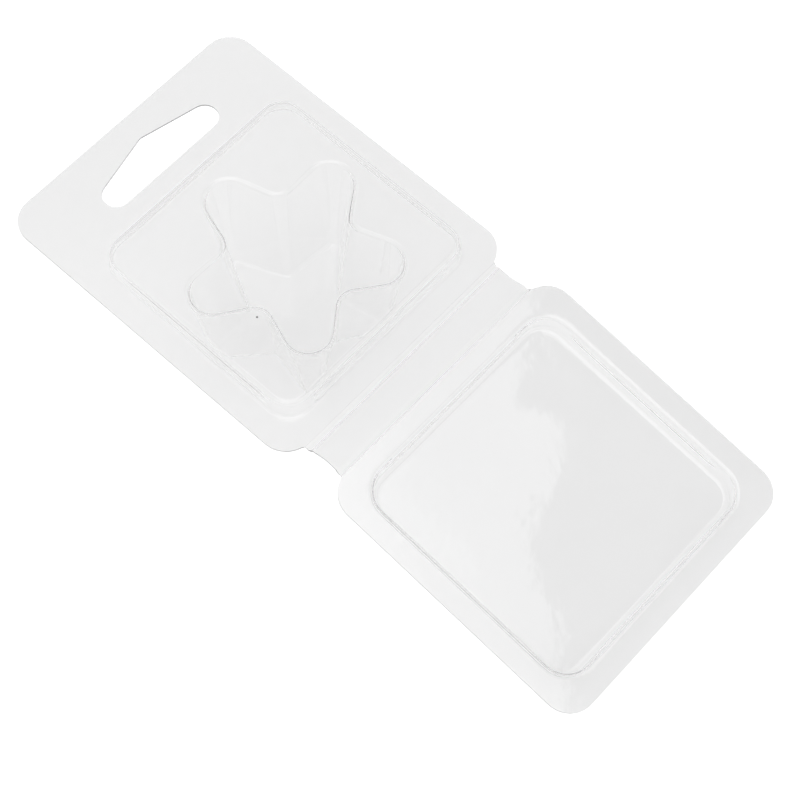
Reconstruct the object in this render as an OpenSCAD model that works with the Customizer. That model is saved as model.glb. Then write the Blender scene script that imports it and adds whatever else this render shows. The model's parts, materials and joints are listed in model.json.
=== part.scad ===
// Hinged clamshell pack for one star-shaped wax melt, formed from a single clear sheet.
// The tray half has a flange with a hang tab, a raised plateau and a deep star pocket.
// The lid half has a flange and a shallow recess that snaps over the plateau.
// The pack lies open: it rests on two of the pocket's points and on the lid's far edge.
// Millimetres. X runs along the hinge, +Y towards the hang tab, +Z up.

/* [Sheet] */
// Thickness of the clear sheet after forming
film_t = 0.35; // [0.25:0.05:0.45]

/* [Flanges] */
// Width of the pack, and length of each square half from its crease
pack_w = 65; // [64:0.5:75]
// Length of the hang tab beyond the square tray half
tab_l = 15.3; // [14.5:0.1:24]
// Radius of the flange corners
corner_r = 6; // [4:0.25:8]

/* [Hang hole] */
// Length of the hang hole, end to end
hole_w = 31.6; // [26:0.1:36]
// Height of the hang hole from its straight base to its apex
hole_h = 9.2; // [8:0.1:11]
// Radius of the two end lobes
hole_end_r = 3.1; // [2.5:0.1:3.6]
// Radius of the apex
hole_apex_r = 2.5; // [1.5:0.1:3.5]
// Sheet left between the apex and the tab's edge
hole_edge = 6; // [4:0.1:7]

/* [Plateau] */
// Width of the square plateau at its base
plateau_w = 53.5; // [52:0.25:54]
// Height of the plateau above the flange
plateau_h = 4.5; // [4.2:0.1:6]
// Corner radius of the plateau at its base
plateau_corner_r = 5.5; // [4:0.25:9]
// Lean of the plateau's and the recess's walls, degrees
wall_draft = 8; // [4:0.5:10]
// Radius where the plateau rises from the flange
base_fillet = 0.6; // [0.3:0.05:0.7]
// Radius along the plateau's top edge
top_fillet = 1.3; // [1:0.05:1.5]

/* [Star pocket] */
// Reach of the star's points from its centre, at the rim
star_reach = 22.6; // [21:0.1:23]
// Radius of the star's points at the rim
tip_r = 5; // [4.5:0.1:5.6]
// Distance of the star's notches from its centre, at the rim
notch_reach = 13.6; // [12.5:0.1:14.5]
// Radius of the star's notches at the rim
notch_r = 4; // [3:0.1:5]
// Radius of the star's points at the floor, where the walls end
floor_tip_r = 1.4; // [1.2:0.1:2.5]
// Radius of the star's notches at the floor
floor_notch_r = 2; // [1.6:0.1:3]
// Depth of the pocket below the plateau's top
pocket_depth = 27; // [20:0.5:32]
// How far the star's centre sits from the plateau's centre, towards the hinge
star_shift = 2; // [0.5:0.1:3]
// Radius along the pocket's rim
rim_fillet = 1.2; // [0.8:0.05:1.5]
// Radius along the pocket's floor
floor_fillet = 1; // [0.6:0.05:1.2]

/* [Lid recess] */
// Gap between plateau and recess walls when the pack is shut, each side
wall_gap = 0.4; // [0.3:0.05:0.6]
// Gap between the two flanges when the pack is shut
flange_gap = 0.3; // [0.2:0.05:0.5]
// Gap above the plateau's top when the pack is shut
crown_gap = 0.3; // [0.2:0.05:0.6]
// Radius along the mouth of the recess
mouth_fillet = 1; // [0.8:0.05:1.3]
// Radius along the floor of the recess
recess_fillet = 1; // [0.7:0.05:1]

/* [Snap beads] */
// Length of the straight run of each snap bead
bead_l = 36; // [24:0.5:38]
// Radius of the bead's round section
bead_r = 1.6; // [1.2:0.1:1.8]
// Height of the bead's middle above the tray's flange
bead_z = 1.8; // [1.6:0.1:2]
// How far the plateau's wall is pressed in along the bead
groove_depth = 0.3; // [0.2:0.05:0.35]
// How far the lid's wall stands in along the bead
ridge_depth = 0.25; // [0.15:0.05:0.25]

/* [Hinge] */
// Width of the strip between the two creases
strip_w = 8.1; // [6:0.1:10]
// How far the strip's ends stand in from the flange sides
strip_inset = 4.9; // [4:0.1:8]
// How far each end of the strip curves in at its middle
strip_waist = 0.4; // [0.2:0.05:0.8]
// Radius of the round notch where each end of the strip runs into the flange's corner
strip_notch_r = 1.2; // [0.8:0.1:1.6]
// Width of each crease's groove
crease_w = 1.5; // [1:0.1:1.8]
// Depth to the bottom corner of each crease's groove
crease_depth = 0.7; // [0.4:0.05:0.9]
// Slope of the strip as it rises from the tray's crease, degrees
strip_rise = 6; // [0:0.5:10]
// Slope of the open lid below the tray's flange, degrees
lid_fall = 9.6; // [4:0.2:16]
// Slit along the fold line in the middle of the strip
fold_gap = 0.06; // [0.02:0.01:0.1]

/* [Hidden] */
$fn = 64;

// Straight sheet kept at each end of a formed section, where it laps or meets the flat sheet
lap = 0.5;
// Chords in each fillet of a formed section, in each arc of the hang hole and in each arc of the star
fillet_steps = 5;
arc_steps = 12;
star_arc_steps = 6;
// Points on the star, and the angle from a point to the next notch
star_points = 5;
half_pitch = 180 / star_points;

// Plan positions, from the tray's crease and from the lid's crease alike
half_w = pack_w / 2;
tray_l = pack_w + tab_l;
square_y = pack_w / 2;
star_y = square_y - star_shift;
crease_half = crease_w / 2;
strip_half_w = half_w - strip_inset;

// Levels: the tray's flange top and the lid's flange top are each 0 in their own frame
pocket_floor_z = plateau_h - pocket_depth;
recess_depth = plateau_h + crown_gap - flange_gap;

// Plateau and recess in plan, at the level of the flanges
plateau_half = plateau_w / 2;
recess_half = plateau_half + wall_gap;
recess_corner_r = plateau_corner_r + wall_gap;

// Star in plan: its points keep their centres from rim to floor, and its walls close in
tip_pos = [0, star_reach - tip_r];
pocket_inset = tip_r - floor_tip_r;
pocket_draft = atan(pocket_inset / pocket_depth);

// Distance from a sharp corner of a section to where its fillet begins
function fillet_reach(r, turn) = r * tan(turn / 2);
wall_turn = 90 - wall_draft;
pocket_turn = 90 - pocket_draft;
floor_r = min(floor_fillet, 0.7 * floor_tip_r / tan(pocket_turn / 2));

// Sections of the sheet: u runs inwards from the outline, n runs up.
// Each is a row of corners on the sheet's upper face, with a fillet radius at each inner corner.
plateau_inset = plateau_h * tan(wall_draft);
plateau_from = -fillet_reach(base_fillet, wall_turn) - lap;
plateau_to = plateau_inset + fillet_reach(top_fillet, wall_turn) + lap;
plateau_corners = [[plateau_from, 0], [0, 0], [plateau_inset, plateau_h], [plateau_to, plateau_h]];
plateau_fillets = [base_fillet, top_fillet];

pocket_from = -fillet_reach(rim_fillet, pocket_turn) - lap;
floor_lap = (floor_tip_r - fillet_reach(floor_r, pocket_turn)) / 2;
pocket_to = pocket_inset + fillet_reach(floor_r, pocket_turn) + floor_lap;
pocket_corners = [
    [pocket_from, plateau_h], [0, plateau_h], [pocket_inset, pocket_floor_z], [pocket_to, pocket_floor_z]
];
pocket_fillets = [rim_fillet, floor_r];

recess_inset = recess_depth * tan(wall_draft);
recess_from = -fillet_reach(mouth_fillet, wall_turn) - lap;
recess_to = recess_inset + fillet_reach(recess_fillet, wall_turn) + lap;
recess_corners = [[recess_from, 0], [0, 0], [recess_inset, -recess_depth], [recess_to, -recess_depth]];
recess_fillets = [mouth_fillet, recess_fillet];

// Hinge sections, seen along X: y runs as in each half's own frame
fold_reach = (strip_w - fold_gap) / 2;
tray_strip = [-cos(strip_rise), sin(strip_rise)];
lid_strip = [cos(strip_rise + lid_fall), -sin(strip_rise + lid_fall)];
crease_bottom = [0, -crease_depth];
crease_r = crease_half / 2;
crease_fillets = [crease_r, crease_r, crease_r];
flange_from = crease_half + fillet_reach(crease_r, atan(crease_depth / crease_half));
hinge_to = flange_from + 2 * lap;
tray_hinge_corners = [
    fold_reach * tray_strip, crease_half * tray_strip, crease_bottom, [crease_half, 0], [hinge_to, 0]
];
lid_hinge_corners = [
    [-hinge_to, 0], [-crease_half, 0], crease_bottom, crease_half * lid_strip, fold_reach * lid_strip
];

// Round notch at the strip's ends: it touches the end and runs into the flange's round corner,
// biting a little way into it so that the two outlines cross
notch_bite = 0.02;
strip_notch_x = strip_half_w + strip_notch_r;
strip_notch_dx = max(0, strip_notch_x - (half_w - corner_r));
strip_notch_drop = sqrt(pow(corner_r + strip_notch_r - notch_bite, 2) - pow(strip_notch_dx, 2));
strip_notch_y = flange_from + corner_r - strip_notch_drop;
strip_notch_turn = atan2(strip_notch_drop, strip_notch_dx);

// How the open pack comes to rest: the ground is the line that touches, from below, the round
// edge of the pocket's floor at its two points nearest the hinge and the far edge of the lid's floor.
lid_crease = strip_w * tray_strip;
floor_edge = [
    star_y - tip_pos.y * cos(half_pitch) - (floor_tip_r - fillet_reach(floor_r, pocket_turn)),
    pocket_floor_z + floor_r
];
lid_edge_q = square_y + recess_half - recess_inset - fillet_reach(recess_fillet, wall_turn);
lid_edge_n = -recess_depth + recess_fillet;
lid_edge = lid_crease + turned([-lid_edge_q, lid_edge_n], lid_fall);
edge_span = floor_edge - lid_edge;
edge_rise = (floor_r - recess_fillet) / norm(edge_span);
rest_tilt = asin(edge_rise) - atan2(edge_span.y, edge_span.x);
ground_z = turned(floor_edge, rest_tilt).y - floor_r - film_t;
tab_end_y = turned([tray_l, -film_t], rest_tilt).x;
lid_end_y = turned(lid_crease + turned([-pack_w, 0], lid_fall), rest_tilt).x;
mid_y = (tab_end_y + lid_end_y) / 2;

// A point in the YZ plane turned about X
function turned(p, a) = [p.x * cos(a) - p.y * sin(a), p.x * sin(a) + p.y * cos(a)];

// The run of a section's upper face as [point, heading] pairs, with its corners rounded
function heading(a, b) = atan2(b.y - a.y, b.x - a.x);
function rounded_corner(a, p, b, r) =
    let (
        from = heading(a, p),
        turn = heading(p, b) - from,
        side = sign(turn) * r,
        start = p - fillet_reach(r, abs(turn)) * [cos(from), sin(from)],
        centre = start + side * [-sin(from), cos(from)]
    )
    [
        for (i = [0 : fillet_steps]) let (h = from + turn * i / fillet_steps)
            [centre + side * [sin(h), -cos(h)], h]
    ];
function section_run(c, r) = concat(
    [[c[0], heading(c[0], c[1])]],
    [for (i = [1 : len(c) - 2]) each rounded_corner(c[i - 1], c[i], c[i + 1], r[i - 1])],
    [[c[len(c) - 1], heading(c[len(c) - 2], c[len(c) - 1])]]
);

// The sheet's section: the run above, and the same run one sheet thickness below
function section_outline(corners, fillets) =
    let (run = section_run(corners, fillets), last = len(run) - 1)
    concat(
        [for (s = run) s[0]],
        [for (i = [0 : last]) let (s = run[last - i]) s[0] + film_t * [sin(s[1]), -cos(s[1])]]
    );
module sheet_section(corners, fillets) {
    polygon(section_outline(corners, fillets));
}

// A section (u inwards, n up) standing at the origin with its outside towards +X, run along +Y
module straight_run(l) {
    rotate([90, 0, 180]) linear_extrude(l) children();
}

// A section swept round a square outline with round corners
module round_square(half, r) {
    side_l = 2 * (half - r);
    for (a = [0 : 90 : 270]) rotate(a) {
        translate([half, -side_l / 2, 0]) straight_run(side_l) children();
        translate([half - r, half - r, 0])
            rotate_extrude(angle = 90) translate([r, 0]) mirror([1, 0]) children();
    }
}

// Points along an arc about c from angle a to angle b
function arc(c, r, a, b, steps) = [
    for (i = [0 : steps]) let (t = a + (b - a) * i / steps) c + r * [cos(t), sin(t)]
];

// Outline of the star, moved inwards by u: round points and round notches joined by their common
// tangents. Outside the rim the notches stay parallel to it, and inside they sharpen towards the floor.
function notch_round(u) = u < 0 ? notch_r + u : notch_r + (floor_notch_r - notch_r) * u / pocket_inset;
function star_outline(u) =
    let (
        notch_pos = (notch_reach - u + notch_round(u)) * [sin(half_pitch), cos(half_pitch)],
        flank = notch_pos - tip_pos,
        flank_out = 90 + atan2(flank.y, flank.x) - asin((tip_r - u + notch_round(u)) / norm(flank)),
        notch_from = 360 - 2 * half_pitch - flank_out,
        tip = arc(tip_pos, tip_r - u, flank_out, 180 - flank_out, star_arc_steps),
        notch = arc(notch_pos, notch_round(u), notch_from, 180 + flank_out, star_arc_steps)
    )
    [for (i = [0 : star_points - 1]) for (p = concat(notch, tip)) turned(p, 360 / star_points * i)];
module star_plan(u) {
    polygon(star_outline(u));
}

// A section swept round the star outline: one ring of points for each point of the section.
// Both faces of the sheet are split along the same diagonals, so that it keeps its thickness.
module round_star(section) {
    rings = [for (s = section) [for (p = star_outline(s.x)) [p.x, p.y, s.y]]];
    n = len(rings);
    m = len(rings[0]);
    faces = [
        for (k = [0 : n - 1]) for (j = [0 : m - 1])
            let (
                a = k * m + j,
                b = (k + 1) % n * m + j,
                c = (k + 1) % n * m + (j + 1) % m,
                d = k * m + (j + 1) % m
            )
            each k < n / 2 ? [[a, b, c], [a, c, d]] : [[a, b, d], [b, c, d]]
    ];
    polyhedron([for (ring = rings) each ring], faces);
}

// Plan of a rectangle with round corners, standing on y = 0
module plate_plan(w, l, r) {
    translate([-w / 2, r]) square([w, l - 2 * r]);
    translate([-w / 2 + r, 0]) square([w - 2 * r, l]);
    for (x = [r - w / 2, w / 2 - r]) for (y = [r, l - r]) translate([x, y]) circle(r);
}

// Plan of a square with round corners about the origin, moved inwards by u
module square_plan(half, r, u) {
    translate([0, u - half]) plate_plan(2 * (half - u), 2 * (half - u), r - u);
}

// Plan of the hang hole: two end lobes and an apex joined by their common tangents, base on y = 0
module hang_hole_plan() {
    end_pos = [hole_w / 2 - hole_end_r, hole_end_r];
    apex_pos = [0, hole_h - hole_apex_r];
    along = end_pos - apex_pos;
    side_out = atan2(along.y, along.x) + acos((hole_apex_r - hole_end_r) / norm(along));
    right_end = arc(end_pos, hole_end_r, -90, side_out, arc_steps);
    apex = arc(apex_pos, hole_apex_r, side_out, 180 - side_out, arc_steps);
    left_end = arc([-end_pos.x, end_pos.y], hole_end_r, 180 - side_out, 270, arc_steps);
    polygon(concat(right_end, apex, left_end));
}

// Flat sheet with its upper face at level z
module flat_sheet(z) {
    translate([0, 0, z - film_t]) linear_extrude(film_t) children();
}

// A round-ended rod along Y, with its axis at x
module round_rod(x, r) {
    translate([x, 0, 0]) {
        rotate([90, 0, 0]) cylinder(r = r, h = bead_l, center = true);
        for (s = [-1, 1]) translate([0, s * bead_l / 2, 0]) sphere(r);
    }
}

// Where the sheet of a wall, lying from x = 0 to film_t, is pressed towards -X: what the bead adds
module bead_swell(depth) {
    intersection() {
        round_rod(bead_r - depth, bead_r);
        translate([-bead_r, -bead_l, -bead_r]) cube([bead_r + film_t / 2, 2 * bead_l, 2 * bead_r]);
    }
}

// What the bead takes away behind it
module bead_hollow(depth) {
    round_rod(bead_r - depth, bead_r - film_t);
}

// Places a bead on each side of a square wall whose upper face meets level 0 at half
module on_walls(half, z, lean, back) {
    wall_x = half - abs(z) * tan(wall_draft);
    for (a = [0 : 90 : 270]) rotate(a)
        translate([wall_x, 0, z]) rotate([0, lean, 0]) translate([back, 0, 0]) children();
}

// Plan of half of the hinge: each end curves in towards the fold line, which lies reach below y = 0,
// and opens out in a round notch towards the flange above
module hinge_plan(reach) {
    end_l = reach + strip_notch_y;
    waist_r = (pow(end_l, 2) + pow(strip_waist, 2)) / (2 * strip_waist);
    waist_pos = [strip_half_w - strip_waist + waist_r, -reach];
    notch_from = 180 - strip_notch_turn / arc_steps;
    waist = arc(waist_pos, waist_r, 180, 180 - asin(end_l / waist_r), arc_steps);
    end_notch = [strip_notch_x, strip_notch_y];
    notch = arc(end_notch, strip_notch_r, notch_from, 180 - strip_notch_turn, arc_steps - 1);
    right = concat(waist, notch, [[notch[arc_steps - 1].x, hinge_to]]);
    last = len(right) - 1;
    polygon(concat(right, [for (i = [0 : last]) [-right[last - i].x, right[last - i].y]]));
}

// Half of the hinge strip with one crease, whose fold line is at y = fold
module hinge_half(corners, fold) {
    intersection() {
        rotate([90, 0, 90]) linear_extrude(pack_w, center = true) sheet_section(corners, crease_fillets);
        linear_extrude(2 * strip_w, center = true) mirror([0, fold > 0 ? 1 : 0]) hinge_plan(abs(fold));
    }
}

// A half's flange plate with its opening for the formed middle
module flange_plan(l, half, r, u) {
    difference() {
        translate([0, flange_from]) plate_plan(pack_w, l - flange_from, corner_r);
        translate([0, square_y]) square_plan(half, r, u);
    }
}

// The tray in its own frame: flange top at 0, crease along y = 0
module tray_sheet() {
    difference() {
        flat_sheet(0) flange_plan(tray_l, plateau_half, plateau_corner_r, plateau_from + lap / 2);
        translate([0, tray_l - hole_edge - hole_h, -2 * film_t]) linear_extrude(4 * film_t) hang_hole_plan();
    }
    hinge_half(tray_hinge_corners, strip_w / 2 * tray_strip.x);
    translate([0, square_y, 0]) difference() {
        union() {
            round_square(plateau_half, plateau_corner_r) sheet_section(plateau_corners, plateau_fillets);
            on_walls(plateau_half, bead_z, -wall_draft, -film_t) bead_swell(groove_depth);
        }
        on_walls(plateau_half, bead_z, -wall_draft, -film_t) bead_hollow(groove_depth);
    }
    flat_sheet(plateau_h) difference() {
        translate([0, square_y]) square_plan(plateau_half, plateau_corner_r, plateau_to - lap / 2);
        translate([0, star_y]) star_plan(pocket_from + lap / 2);
    }
    translate([0, star_y, 0]) {
        round_star(section_outline(pocket_corners, pocket_fillets));
        flat_sheet(pocket_floor_z) star_plan(pocket_to - floor_lap / 2);
    }
}

// The lid in its own frame: flange top at 0, crease along y = 0, the lid towards +Y
module lid_sheet() {
    flat_sheet(0) flange_plan(pack_w, recess_half, recess_corner_r, recess_from + lap / 2);
    translate([0, square_y, 0]) {
        difference() {
            union() {
                round_square(recess_half, recess_corner_r) sheet_section(recess_corners, recess_fillets);
                on_walls(recess_half, flange_gap - bead_z, wall_draft, 0) bead_swell(ridge_depth);
            }
            on_walls(recess_half, flange_gap - bead_z, wall_draft, 0) bead_hollow(ridge_depth);
        }
        flat_sheet(-recess_depth) square_plan(recess_half, recess_corner_r, recess_to - lap / 2);
    }
}

// From the tray's own frame to the resting pack's
module as_it_rests() {
    translate([0, -mid_y, -ground_z]) rotate([rest_tilt, 0, 0]) children();
}

module tray() {
    color([0.93, 0.93, 0.93, 0.5]) as_it_rests() tray_sheet();
}

module lid() {
    color([0.93, 0.93, 0.93, 0.5]) as_it_rests()
        translate([0, lid_crease.x, lid_crease.y]) rotate([lid_fall, 0, 0]) {
            rotate(180) lid_sheet();
            hinge_half(lid_hinge_corners, strip_w / 2 * lid_strip.x);
        }
}

tray();
lid();
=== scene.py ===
import json
from math import acos, asin, atan2, cos, degrees, exp, hypot, pi, radians, sin, sqrt, tan

import bmesh
import bpy
from mathutils import Euler, Matrix, Vector


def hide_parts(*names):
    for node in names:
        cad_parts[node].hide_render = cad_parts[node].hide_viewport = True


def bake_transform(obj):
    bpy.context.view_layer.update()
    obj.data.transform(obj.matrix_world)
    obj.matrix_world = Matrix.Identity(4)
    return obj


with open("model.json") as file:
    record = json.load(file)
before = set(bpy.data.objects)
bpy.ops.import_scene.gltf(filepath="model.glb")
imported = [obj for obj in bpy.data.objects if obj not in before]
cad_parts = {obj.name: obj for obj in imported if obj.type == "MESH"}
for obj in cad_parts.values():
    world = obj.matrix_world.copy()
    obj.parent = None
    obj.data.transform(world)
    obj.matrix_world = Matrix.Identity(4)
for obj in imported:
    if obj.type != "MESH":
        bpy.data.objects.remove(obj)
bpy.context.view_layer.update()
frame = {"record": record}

# The clear sheet is one piece of film, heated and drawn over a mould, then cut out. It starts here
# as the tray half: a flat flange with rounded corners and a hang tab, drawn in the tray's own frame,
# with the flange's upper face at height 0 and the fold towards the lid along y = 0.
MM = 0.001
hair = 0.01 * MM
film_thickness = 0.35 * MM
pack_half_width = 32.5 * MM
square_centre = pack_half_width
tray_length = 80.3 * MM
flange_corner = 6 * MM
corner_steps = 10
up = Vector((0, 0, 1))
sheet = bmesh.new()


def round_outline(bm, height, arcs):
    """Draws a flat outline from arcs: (centre x, centre y, radius, start, sweep, steps), in degrees."""
    corners = []
    for x, y, radius, start, sweep, steps in arcs:
        centre = Vector((x, y, height))
        spoke = Vector((radius * cos(radians(start)), radius * sin(radians(start)), 0))
        first = bm.verts.new(centre + spoke)
        drawn = len(bm.verts)
        bmesh.ops.spin(bm, geom=[first], cent=centre, axis=up, angle=radians(sweep), steps=steps)
        bm.verts.ensure_lookup_table()
        corners += [first, *bm.verts[drawn:]]
    return bm.faces.new(corners)


def rounded_square(bm, centre, half, radius):
    """A flat square face with round corners."""
    inner = half - radius
    spots = [(inner, inner), (-inner, inner), (-inner, -inner), (inner, -inner)]
    return round_outline(bm, 0, [
        (x, centre + y, radius, 90 * i, 90, corner_steps) for i, (x, y) in enumerate(spots)])


# Where the flange's round corner runs into the strip's end there is a small round notch. The two
# touch, so the notch's place follows from the corner's radius and its own.
flange_start = 0.9 * MM
strip_half_width = 27.6 * MM
notch_radius = 1.2 * MM
notch_steps = 8
corner_centre = Vector((pack_half_width - flange_corner, flange_start + flange_corner))
notch_x = strip_half_width + notch_radius
notch_drop = sqrt((flange_corner + notch_radius) ** 2 - (notch_x - corner_centre.x) ** 2)
notch_y = corner_centre.y - notch_drop
notch_angle = degrees(atan2(notch_drop, notch_x - corner_centre.x))
hinge_line = corner_centre.y - flange_corner * sin(radians(notch_angle))


def flange_face(bm, length):
    """One half's flange outline, with its hinge edge along the notches' ends."""
    far = length - flange_corner
    near = corner_centre.y
    side = corner_centre.x
    return round_outline(bm, 0, [
        (side, near, flange_corner, -notch_angle, notch_angle, notch_steps),
        (side, far, flange_corner, 0, 90, corner_steps),
        (-side, far, flange_corner, 90, 90, corner_steps),
        (-side, near, flange_corner, 180, notch_angle, notch_steps),
    ])


tray_flange = flange_face(sheet, tray_length)

# The hang hole is punched through the tab: two round ends and a blunt apex, joined by their common
# tangents. The apex centres the pack on a shop peg.
hole_half_length = 15.8 * MM
hole_height = 9.2 * MM
hole_to_edge = 6 * MM
hole_end_radius, hole_end_steps = 3.1 * MM, 14
hole_apex_radius, hole_apex_steps = 2.5 * MM, 8
hole_base = tray_length - hole_to_edge - hole_height
end_x = hole_half_length - hole_end_radius
end_y = hole_base + hole_end_radius
apex_y = hole_base + hole_height - hole_apex_radius
side_slope = atan2(end_y - apex_y, end_x)
lean = acos((hole_apex_radius - hole_end_radius) / hypot(end_x, end_y - apex_y))
side_out = degrees(side_slope + lean)
hang_hole = round_outline(sheet, 0, [
    (end_x, end_y, hole_end_radius, -90, 90 + side_out, hole_end_steps),
    (0, apex_y, hole_apex_radius, side_out, 180 - 2 * side_out, hole_apex_steps),
    (-end_x, end_y, hole_end_radius, 180 - side_out, 90 + side_out, hole_end_steps),
])

# The plateau is drawn up from the flange, with leaning walls and soft edges. Its section is a run of
# small steps inwards and upwards, and each step is pressed into the sheet as one inset.
plateau_half = 26.75 * MM
plateau_corner = 5.5 * MM
plateau_height = 4.5 * MM
plateau_base_fillet = 0.6 * MM
plateau_top_fillet = 1.3 * MM
wall_lean = 8
edge_flat = 0.5 * MM


def formed_run(flat_in, wall_in, wall_up, radius_a, radius_b, flat_out, steps=9, wall_steps=12):
    """Steps (inwards, upwards) over a formed wall: flat, soft corner, wall, soft corner, flat.
    Also gives how far the first soft corner reaches out from where the wall starts."""
    turn = atan2(abs(wall_up), wall_in)
    rise = 1 if wall_up > 0 else -1
    reach_a, reach_b = radius_a * tan(turn / 2), radius_b * tan(turn / 2)
    wall_step = (hypot(wall_in, wall_up) - reach_a - reach_b) / wall_steps
    run = [(flat_in, 0)]
    for i in range(steps):
        a, b = turn * i / steps, turn * (i + 1) / steps
        run.append((radius_a * (sin(b) - sin(a)), rise * radius_a * (cos(a) - cos(b))))
    run += [(wall_step * cos(turn), rise * wall_step * sin(turn))] * wall_steps
    for i in range(steps, 0, -1):
        a, b = turn * i / steps, turn * (i - 1) / steps
        run.append((radius_b * (sin(a) - sin(b)), rise * radius_b * (cos(b) - cos(a))))
    run.append((flat_out, 0))
    return run, reach_a


def press(bm, face, run):
    """Presses a face step by step into a formed wall. The face is then what is left inside."""
    for inwards, upwards in run:
        bmesh.ops.inset_individual(bm, faces=[face], thickness=inwards, depth=upwards, use_even_offset=True)


plateau_run, base_reach = formed_run(
    edge_flat, plateau_height * tan(radians(wall_lean)), plateau_height,
    plateau_base_fillet, plateau_top_fillet, edge_flat)
out = base_reach + edge_flat
plateau = rounded_square(sheet, square_centre, plateau_half + out, plateau_corner + out)
flange_edges = [*tray_flange.edges, *hang_hole.edges, *plateau.edges]
bmesh.ops.delete(sheet, geom=[tray_flange, hang_hole], context="FACES_ONLY")
bmesh.ops.triangle_fill(sheet, edges=flange_edges, use_beauty=True, normal=up)
press(sheet, plateau, plateau_run)

# The star pocket is drawn deep below the plateau: five round points and five round notches. Its walls
# close in towards a flat floor, and the notches sharpen on the way down.
star_offset = 2 * MM
star_centre = square_centre - star_offset
tip_reach, notch_reach = 22.6 * MM, 13.6 * MM
tip_radius, tip_steps = 5 * MM, 14
floor_tip_radius = 1.4 * MM
tip_from_centre = tip_reach - tip_radius
rim_notch_radius, star_notch_steps = 4 * MM, 10
floor_notch_radius = 2 * MM
pocket_depth = 27 * MM
pocket_rim_fillet = 1.2 * MM
pocket_floor_fillet = 1 * MM
pocket_floor_flat = 0.2 * MM
pocket_inset = tip_radius - floor_tip_radius
half_pitch = radians(36)


def star_outline(bm, inwards, height):
    """The star's outline at one level of the pocket, as a flat face."""
    sharpening = (floor_notch_radius - rim_notch_radius) / pocket_inset
    notch = rim_notch_radius + inwards * (sharpening if inwards > 0 else 1)
    tip = tip_radius - inwards
    notch_spot = Vector((sin(half_pitch), cos(half_pitch))) * (notch_reach - inwards + notch)
    flank = notch_spot - Vector((0, tip_from_centre))
    flank_out = 90 + degrees(atan2(flank.y, flank.x) - asin((tip + notch) / flank.length))
    arcs = []
    for turn in range(0, 360, 72):
        tip_at = Matrix.Rotation(radians(turn), 2) @ Vector((0, tip_from_centre))
        notch_at = Matrix.Rotation(radians(turn + 72), 2) @ notch_spot
        arcs.append((tip_at.x, star_centre + tip_at.y, tip,
                     flank_out + turn, 180 - 2 * flank_out, tip_steps))
        arcs.append((notch_at.x, star_centre + notch_at.y, notch,
                     360 - flank_out + turn, 2 * flank_out - 108, star_notch_steps))
    return round_outline(bm, height, arcs)


pocket_run, rim_reach = formed_run(
    edge_flat, pocket_inset, -pocket_depth,
    pocket_rim_fillet, pocket_floor_fillet, pocket_floor_flat, wall_steps=8)
inwards, height = -rim_reach - edge_flat, plateau_height
star = star_outline(sheet, inwards, height)
top_edges = [*plateau.edges, *star.edges]
bmesh.ops.delete(sheet, geom=[plateau], context="FACES_ONLY")
bmesh.ops.triangle_fill(sheet, edges=top_edges, use_beauty=True, normal=up)
for step_in, step_up in pocket_run:
    inwards, height = inwards + step_in, height + step_up
    level = bmesh.new()
    outline = star_outline(level, inwards, height)
    bmesh.ops.inset_individual(sheet, faces=[star], thickness=hair, use_even_offset=True)
    for v, spot in zip(star.verts, outline.verts):
        v.co = spot.co
    level.free()

# Along each straight side the plateau's wall is pressed in to a long round-ended groove, which the
# lid's ridges snap into.
bead_half_length = 18 * MM
bead_radius = 1.6 * MM
bead_height = 1.8 * MM
bead_cuts = 47
groove_depth = 0.3 * MM
wall_zone = 2 * MM
straight_length = 1.5 * bead_half_length


def press_beads(bm, height, depth):
    """Presses a bead of that depth into each straight wall, towards the square's middle."""
    walls = []
    for e in bm.edges:
        a, b = (v.co.z for v in e.verts)
        level = abs(a - b) < hair < abs(a)
        if level and abs(a - height) < bead_radius and e.calc_length() > straight_length:
            walls.append(e)
    bmesh.ops.subdivide_edges(bm, edges=walls, cuts=bead_cuts, use_grid_fill=True)
    for v in bm.verts:
        x, y = v.co.x, v.co.y - square_centre
        across, along = max(abs(x), abs(y)), min(abs(x), abs(y))
        if across < plateau_half - wall_zone or abs(v.co.z - height) > bead_radius:
            continue
        past_end = max(0, along - bead_half_length)
        near = bead_radius ** 2 - (v.co.z - height) ** 2 - past_end ** 2
        pressed = sqrt(near) - bead_radius + depth if near > 0 else 0
        if pressed > 0:
            inwards = Vector((-x, 0, 0)) if abs(x) > abs(y) else Vector((0, -y, 0))
            v.co += inwards.normalized() * pressed


press_beads(sheet, bead_height, groove_depth)

# The lid half is drawn from the same sheet: a square flange and a shallow recess that fits over the
# plateau. Its wide floor isn't quite flat: the thin film buckled a little as it cooled.
wall_gap = 0.4 * MM
flange_gap = 0.3 * MM
lid_length = 65 * MM
recess_half = plateau_half + wall_gap
recess_corner = plateau_corner + wall_gap
recess_depth = 4.5 * MM
recess_fillet = 1 * MM
ridge_depth = 0.25 * MM
lid_sheet = bmesh.new()
lid_flange = flange_face(lid_sheet, lid_length)
recess_run, mouth_reach = formed_run(
    edge_flat, recess_depth * tan(radians(wall_lean)), -recess_depth,
    recess_fillet, recess_fillet, edge_flat)
out = mouth_reach + edge_flat
recess = rounded_square(lid_sheet, square_centre, recess_half + out, recess_corner + out)
flange_edges = [*lid_flange.edges, *recess.edges]
bmesh.ops.delete(lid_sheet, geom=[lid_flange], context="FACES_ONLY")
bmesh.ops.triangle_fill(lid_sheet, edges=flange_edges, use_beauty=True, normal=up)
press(lid_sheet, recess, recess_run)
press_beads(lid_sheet, flange_gap - bead_height, ridge_depth)

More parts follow.
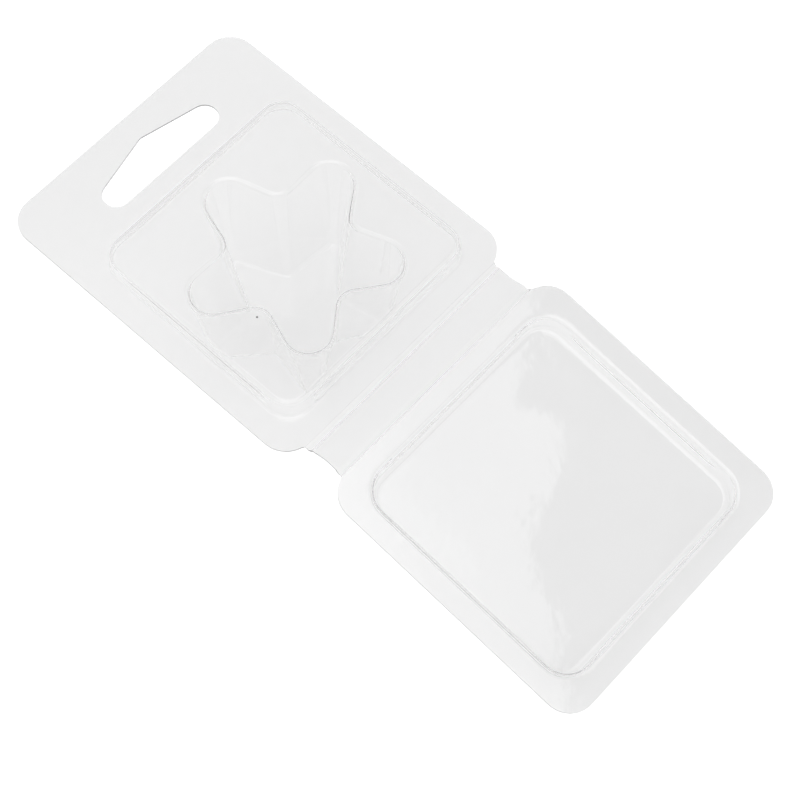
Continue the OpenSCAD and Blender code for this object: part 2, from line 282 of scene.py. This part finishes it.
panel_cell = 2 * MM
panel_half = recess_half - out
panel_top = -recess_depth + 0.001 * MM
cuts = int(panel_half / panel_cell)
for axis in (Vector((1, 0, 0)), Vector((0, 1, 0))):
    for i in range(-cuts, cuts + 1):
        panel = [f for f in lid_sheet.faces if all(v.co.z < panel_top for v in f.verts)]
        parts = {*panel, *(e for f in panel for e in f.edges), *(v for f in panel for v in f.verts)}
        cut_at = Vector((0, square_centre, 0)) + axis * i * panel_cell
        bmesh.ops.bisect_plane(lid_sheet, geom=list(parts), plane_co=cut_at, plane_no=axis)

wave_way = Vector((0.645, 0.764))
wave_start, wave_pace = 1, 7.5
crest_shift, crest_pace = 2, 9
hinge_slope, far_slope = 0.013, 0.0098
dip_slope, dip_at, dip_width = 0.02, 21.5, 4.5


def buckle(x, y):
    """Height of the panel's slow waves at a place measured from its middle, in metres. The waves run
    along one slant, and their places and paces are in millimetres."""
    across = (wave_way.x * y - wave_way.y * x) / MM + crest_shift
    along = -(wave_way.x * x + wave_way.y * y) / MM
    swell = (hinge_slope if along > wave_start else far_slope) * sin((along - wave_start) / wave_pace)
    dip = dip_slope * exp(-((along - dip_at) / dip_width) ** 2)
    return (swell - dip) * crest_pace * sin(across / crest_pace) * MM


panel_margin = 8 * MM
for v in lid_sheet.verts:
    if v.co.z < panel_top:
        x, y = v.co.x, v.co.y - square_centre
        share = min(1, max(0, (panel_half - max(abs(x), abs(y))) / panel_margin))
        v.co.z += buckle(x, y) * share * share * (3 - 2 * share)

# The hinge is a strip of the same film between two pressed creases. The strip rises a little from
# the tray, and the open lid slopes down from it.
strip_width = 8.1 * MM
strip_waist = 0.4 * MM
crease_half = 0.75 * MM
crease_depth = 0.7 * MM
crease_radius = 0.375 * MM
strip_rise = radians(6)
lid_fall = radians(9.6)
lid_turn = Matrix.Rotation(lid_fall, 2)
strip_along = Vector((-cos(strip_rise), sin(strip_rise)))
lid_crease = strip_along * strip_width
lid_place = (Matrix.Translation((0, lid_crease.x, lid_crease.y)) @ Matrix.Rotation(lid_fall, 4, "X")
             @ Matrix.Rotation(pi, 4, "Z"))
bmesh.ops.transform(lid_sheet, matrix=lid_place, verts=lid_sheet.verts)
lid_half = bpy.data.meshes.new("lid_half")
lid_sheet.to_mesh(lid_half)
lid_sheet.free()
sheet.from_mesh(lid_half)
bpy.data.meshes.remove(lid_half)


def lid_side(along, height):
    """A point of the lid's crease, given from the lid's own crease line, in the tray's frame."""
    return lid_crease + lid_turn @ Vector((-along, height))


def soften(corners, radius, steps=4):
    """Rounds the inner corners of a section with short arcs between their tangent points."""
    path = [corners[0]]
    for before, corner, after in zip(corners, corners[1:], corners[2:]):
        come, leave = (corner - before).normalized(), (after - corner).normalized()
        turn = come.angle_signed(leave)
        start = corner - come * radius * tan(abs(turn) / 2)
        side = -1 if turn > 0 else 1
        centre = start + Vector((-come.y, come.x)) * radius * side
        for i in range(steps + 1):
            path.append(centre + Matrix.Rotation(-turn * i / steps, 2) @ (start - centre))
    return path + [corners[-1]]


fold_zone, fold_steps = 0.4 * MM, 8
fold_line = strip_along * strip_width / 2
fold_rows = [fold_line - strip_along * fold_zone * (1 - 2 * i / fold_steps) for i in range(fold_steps + 1)]
tray_crease = soften([
    Vector((hinge_line, 0)), Vector((crease_half, 0)), Vector((0, -crease_depth)),
    strip_along * crease_half, fold_rows[0]], crease_radius)
lid_crease_path = soften([
    lid_side(hinge_line, 0), lid_side(crease_half, 0), lid_side(0, -crease_depth),
    lid_crease - strip_along * crease_half, fold_rows[-1]], crease_radius)
section = tray_crease + fold_rows[1:-1] + lid_crease_path[::-1]


def strip_end(point):
    """Half width of the hinge at a point of its section: a waist, and a round notch at each crease."""
    from_lid = -(lid_turn.inverted() @ (point - lid_crease)).x
    for past in (point.x, from_lid):
        if past > notch_y:
            return notch_x - sqrt(max(0, notch_radius ** 2 - (past - notch_y) ** 2))
    share = (point - fold_line).length / (strip_width / 2)
    return strip_half_width - strip_waist * max(0, 1 - share * share)


row = [e for e in sheet.edges if e.is_boundary and all(abs(v.co.y - hinge_line) < hair for v in e.verts)]
for here, there in zip(section, section[1:]):
    grown = bmesh.ops.extrude_edge_only(sheet, edges=row)["geom"]
    fresh = {g for g in grown if isinstance(g, bmesh.types.BMVert)}
    row = [g for g in grown if isinstance(g, bmesh.types.BMEdge) and set(g.verts) <= fresh]
    bmesh.ops.scale(sheet, vec=(strip_end(there) / strip_end(here), 1, 1), verts=list(fresh))
    bmesh.ops.translate(sheet, vec=(0, there.x - here.x, there.y - here.y), verts=list(fresh))
bmesh.ops.remove_doubles(sheet, verts=sheet.verts, dist=hair)

# The sheet is set down as the open pack rests, on its pocket's foot and the lid's far edge, and gets
# its thickness below the moulded face. The cut edges get a material of their own, rougher and with painted
# shade.
foot = next(m for m in frame["record"]["mounts"] if m["name"] == "pocket_foot")
rest_turn = Matrix.Rotation(asin(foot["axis"][1]), 4, "X")
foot_in_tray = Vector((0, star_centre, plateau_height - pocket_depth - film_thickness))
rest_place = Matrix.Translation(Vector(foot["pos_m"]) - rest_turn @ foot_in_tray) @ rest_turn
bmesh.ops.transform(sheet, matrix=rest_place, verts=sheet.verts)
bmesh.ops.recalc_face_normals(sheet, faces=sheet.faces)
if sum(f.normal.z for f in sheet.faces) < 0:
    bmesh.ops.reverse_faces(sheet, faces=sheet.faces)
moulded_face = bpy.data.meshes.new("moulded_face")
sheet.to_mesh(moulded_face)
sheet.free()
formed_sheet = bpy.data.objects.new("formed_sheet", moulded_face)
bpy.context.scene.collection.objects.link(formed_sheet)
wall = formed_sheet.modifiers.new("film_thickness", "SOLIDIFY")
wall.thickness = film_thickness
wall.offset = -1
wall.use_even_offset = True
wall.material_offset_rim = 1
clear_film = bpy.data.materials.new("clear_film")
cut_edge = bpy.data.materials.new("cut_edge")
moulded_face.materials.append(clear_film)
moulded_face.materials.append(cut_edge)
film = bpy.data.meshes.new_from_object(formed_sheet.evaluated_get(bpy.context.evaluated_depsgraph_get()))
film.name = "formed_sheet"
formed_sheet.modifiers.clear()
formed_sheet.data = film
bpy.data.meshes.remove(moulded_face)
film.shade_smooth()
film.set_sharp_from_angle(angle=radians(50))

# Clear film: glossy and almost without colour. Forming leaves a fine crinkle and slow ripples in its
# gloss, and static holds a few grains of dust. Light from the lamps passes through it to the floor.
film_ior = 1.5
relief_height = 0.01 * MM
film_surface = bpy.data.node_groups.new("film_surface", "ShaderNodeTree")
for name, amount in (("Crinkle", 1), ("Dust", 0.04)):
    socket = film_surface.interface.new_socket(name, in_out="INPUT", socket_type="NodeSocketFloat")
    socket.default_value = amount
for name in ("Height", "Haze", "Clean"):
    film_surface.interface.new_socket(name, in_out="OUTPUT", socket_type="NodeSocketFloat")
nodes, links = film_surface.nodes, film_surface.links
given, made = nodes.new("NodeGroupInput"), nodes.new("NodeGroupOutput")
place = nodes.new("ShaderNodeTexCoord")


def grain(scale, detail):
    """Soft noise over the piece, with its scale in features per metre."""
    noise = nodes.new("ShaderNodeTexNoise")
    noise.inputs["Scale"].default_value = scale
    noise.inputs["Detail"].default_value = detail
    links.new(place.outputs["Object"], noise.inputs["Vector"])
    return noise.outputs["Fac"]


def put_together(operation, a, b):
    """Two values, or a value and a number, in one Math node of the nodes at hand."""
    node = nodes.new("ShaderNodeMath")
    node.operation = operation
    for socket, value in zip(node.inputs, (a, b)):
        if isinstance(value, (int, float)):
            socket.default_value = value
        else:
            links.new(value, socket)
    return node.outputs[0]


slow_ripples, fine_crinkle, patches = grain(110, 2), grain(620, 3), grain(260, 4)
ripple_share, haze_share = 3, 0.08
specks_per_metre, speck_size = 130, 0.05
ripple = put_together("ADD", put_together("MULTIPLY", slow_ripples, ripple_share), fine_crinkle)
links.new(put_together("MULTIPLY", ripple, given.outputs["Crinkle"]), made.inputs["Height"])
links.new(put_together("MULTIPLY", patches, haze_share), made.inputs["Haze"])
specks = nodes.new("ShaderNodeTexVoronoi")
specks.inputs["Scale"].default_value = specks_per_metre
links.new(place.outputs["Object"], specks.inputs["Vector"])
chosen = nodes.new("ShaderNodeSeparateColor")
links.new(specks.outputs["Color"], chosen.inputs["Color"])
dusty = put_together("LESS_THAN", chosen.outputs["Red"], given.outputs["Dust"])
speck_reach = put_together("MULTIPLY", dusty, put_together("MULTIPLY", chosen.outputs["Green"], speck_size))
links.new(put_together("GREATER_THAN", specks.outputs["Distance"], speck_reach), made.inputs["Clean"])


def film_finish(material, shader, crinkle, dust):
    """Places the film's surface in a material, gives the shader its relief and returns its outputs."""
    tree = material.node_tree
    surface = tree.nodes.new("ShaderNodeGroup")
    surface.node_tree = film_surface
    surface.inputs["Crinkle"].default_value = crinkle
    surface.inputs["Dust"].default_value = dust
    relief = tree.nodes.new("ShaderNodeBump")
    relief.inputs["Strength"].default_value = 1
    relief.inputs["Distance"].default_value = relief_height
    tree.links.new(surface.outputs["Height"], relief.inputs["Height"])
    tree.links.new(relief.outputs["Normal"], shader.inputs["Normal"])
    return surface.outputs


clear_film.use_nodes = True
nodes, links = clear_film.node_tree.nodes, clear_film.node_tree.links
nodes.clear()
shader = nodes.new("ShaderNodeBsdfPrincipled")
shader.inputs["IOR"].default_value = film_ior
shader.inputs["Transmission Weight"].default_value = 1
surface = film_finish(clear_film, shader, 1, 0.03)
tone = nodes.new("ShaderNodeMix")
tone.data_type = "RGBA"
tone.inputs["A"].default_value = (0.1, 0.1, 0.1, 1)
tone.inputs["B"].default_value = (1, 1, 1, 1)
links.new(surface["Clean"], tone.inputs["Factor"])
links.new(tone.outputs["Result"], shader.inputs["Base Color"])
links.new(surface["Haze"], shader.inputs["Roughness"])
let_through = nodes.new("ShaderNodeBsdfTransparent")
let_through.inputs["Color"].default_value = (0.995, 0.995, 0.995, 1)
path = nodes.new("ShaderNodeLightPath")
mixed = nodes.new("ShaderNodeMixShader")
result = nodes.new("ShaderNodeOutputMaterial")
links.new(path.outputs["Is Shadow Ray"], mixed.inputs[0])
links.new(shader.outputs[0], mixed.inputs[1])
links.new(let_through.outputs[0], mixed.inputs[2])
links.new(mixed.outputs[0], result.inputs["Surface"])

# The punch leaves the film's cut edges a little rough, and their grey base colour is painted shade: it
# makes them pass less light than the film's faces, so they show as thin grey lines.
cut_edge.use_nodes = True
nodes, links = cut_edge.node_tree.nodes, cut_edge.node_tree.links
shader = nodes["Principled BSDF"]
# Painted shade: the grey base colour darkens the cut edges.
shader.inputs["Base Color"].default_value = (0.4, 0.4, 0.4, 1)
shader.inputs["IOR"].default_value = film_ior
shader.inputs["Transmission Weight"].default_value = 1
surface = film_finish(cut_edge, shader, 8, 0)
frosting = nodes.new("ShaderNodeMapRange")
frosting.inputs["To Min"].default_value = 0.25
frosting.inputs["To Max"].default_value = 0.5
links.new(surface["Haze"], frosting.inputs["Value"])
links.new(frosting.outputs["Result"], shader.inputs["Roughness"])

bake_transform(formed_sheet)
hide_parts("tray", "lid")

# The pack lies on a plain white floor. The floor shows white to the camera and nearly white through
# the film, and keeps the pack's faint shadow.
floor_mesh = bpy.data.meshes.new("floor")
plane = bmesh.new()
bmesh.ops.create_grid(plane, x_segments=1, y_segments=1, size=3)
plane.to_mesh(floor_mesh)
plane.free()
floor = bpy.data.objects.new("floor", floor_mesh)
bpy.context.scene.collection.objects.link(floor)
white_floor = bpy.data.materials.new("white_floor")
white_floor.use_nodes = True
nodes, links = white_floor.node_tree.nodes, white_floor.node_tree.links
nodes.clear()
paper = nodes.new("ShaderNodeBsdfDiffuse")
paper.inputs["Color"].default_value = (0.35, 0.35, 0.35, 1)
glow = nodes.new("ShaderNodeEmission")
path = nodes.new("ShaderNodeLightPath")
seen_glow, film_glow = 0.85, 0.57
by_film = put_together("MAXIMUM", path.outputs["Is Glossy Ray"], path.outputs["Is Transmission Ray"])
brighter = put_together("MAXIMUM", put_together("MULTIPLY", by_film, film_glow),
                        put_together("MULTIPLY", path.outputs["Is Camera Ray"], seen_glow))
added = nodes.new("ShaderNodeAddShader")
result = nodes.new("ShaderNodeOutputMaterial")
links.new(brighter, glow.inputs["Strength"])
links.new(paper.outputs[0], added.inputs[0])
links.new(glow.outputs[0], added.inputs[1])
links.new(added.outputs[0], result.inputs["Surface"])
floor_mesh.materials.append(white_floor)

# The studio is a pale room with one softbox. The lid's panel mirrors the softbox's far edge, with
# the unlit side of the room beyond it. Low down the walls are darker, so that the film's edges show
# from every side, and straight to the camera the room is white.
softbox_height = 0.6
softbox_edge = 0.284
softbox_side = 0.5
softbox_reach = 0.12
softbox_level = 0.85
edge_way = Vector((0.764, -0.645, 0)).normalized()
along_edge = Vector((0.645, 0.764, 0)).normalized()
softbox = bpy.data.lights.new("softbox", "AREA")
softbox.shape = "RECTANGLE"
softbox.size = softbox.size_y = softbox_side
softbox.energy = pi * softbox_side ** 2 * softbox_level
softbox_lamp = bpy.data.objects.new("softbox", softbox)
bpy.context.scene.collection.objects.link(softbox_lamp)
softbox_lamp.location = (edge_way * (softbox_edge - softbox_side / 2)
                         + along_edge * (softbox_reach - softbox_side / 2) + up * softbox_height)
softbox_lamp.rotation_euler = (0, 0, atan2(edge_way.y, edge_way.x))
world = bpy.data.worlds.new("studio")
bpy.context.scene.world = world
world.use_nodes = True
nodes, links = world.node_tree.nodes, world.node_tree.links
background = nodes["Background"]
background.inputs["Color"].default_value = (1, 1, 1, 1)
way = nodes.new("ShaderNodeTexCoord")
path = nodes.new("ShaderNodeLightPath")


def by_direction(axis, start, end, from_value, to_value):
    """A strength that changes with the direction's share along an axis."""
    share = nodes.new("ShaderNodeVectorMath")
    share.operation = "DOT_PRODUCT"
    share.inputs[1].default_value = axis
    change = nodes.new("ShaderNodeMapRange")
    change.interpolation_type = "SMOOTHSTEP"
    change.inputs["From Min"].default_value = start
    change.inputs["From Max"].default_value = end
    change.inputs["To Min"].default_value = from_value
    change.inputs["To Max"].default_value = to_value
    links.new(way.outputs["Generated"], share.inputs[0])
    links.new(share.outputs["Value"], change.inputs["Value"])
    return change.outputs["Result"]


room_level, window_level, unlit_drop = 0.72, 1.6, 0.6
near_wall_drop, far_wall_drop = 0.36, 0.12
window = put_together("MINIMUM", by_direction(-along_edge, 0.15, 0.75, room_level, window_level),
                      by_direction(up, 0.2, 0.4, room_level, window_level))
unlit = put_together("MULTIPLY", by_direction(edge_way, 0.30, 0.36, 0, unlit_drop),
                     by_direction(up, 0.6, 0.75, 0, 1))
wall_height = put_together("MULTIPLY", by_direction(up, 0.02, 0.12, 0, 1), by_direction(up, 0.3, 0.5, 1, 0))
walls = put_together("MULTIPLY", wall_height,
                     by_direction(along_edge, 0.2, 0.7, near_wall_drop, far_wall_drop))
room = put_together("SUBTRACT", put_together("SUBTRACT", window, unlit), walls)
links.new(put_together("MAXIMUM", room, path.outputs["Is Camera Ray"]), background.inputs["Strength"])

# The camera looks down on the pack from the lid's left, with a long lens. Its place was fitted to the
# pack's straight edges. Light runs far along inside the thin film before it gets out, so its paths are
# followed that far.
lens = bpy.data.cameras.new("camera")
lens.sensor_width = 36
lens.lens = 94.11
camera = bpy.data.objects.new("camera", lens)
bpy.context.scene.collection.objects.link(camera)
camera.location = (-0.1403, -0.1678, 0.3739)
camera.rotation_euler = Euler((radians(29.892), radians(4.257), radians(-47.461)), "XYZ")
bpy.context.scene.camera = camera
bpy.context.scene.view_settings.view_transform = "Standard"
film_bounces = 160
bpy.context.scene.cycles.max_bounces = film_bounces
bpy.context.scene.cycles.transmission_bounces = film_bounces
bpy.context.scene.cycles.glossy_bounces = film_bounces
bpy.context.scene.cycles.transparent_max_bounces = 32
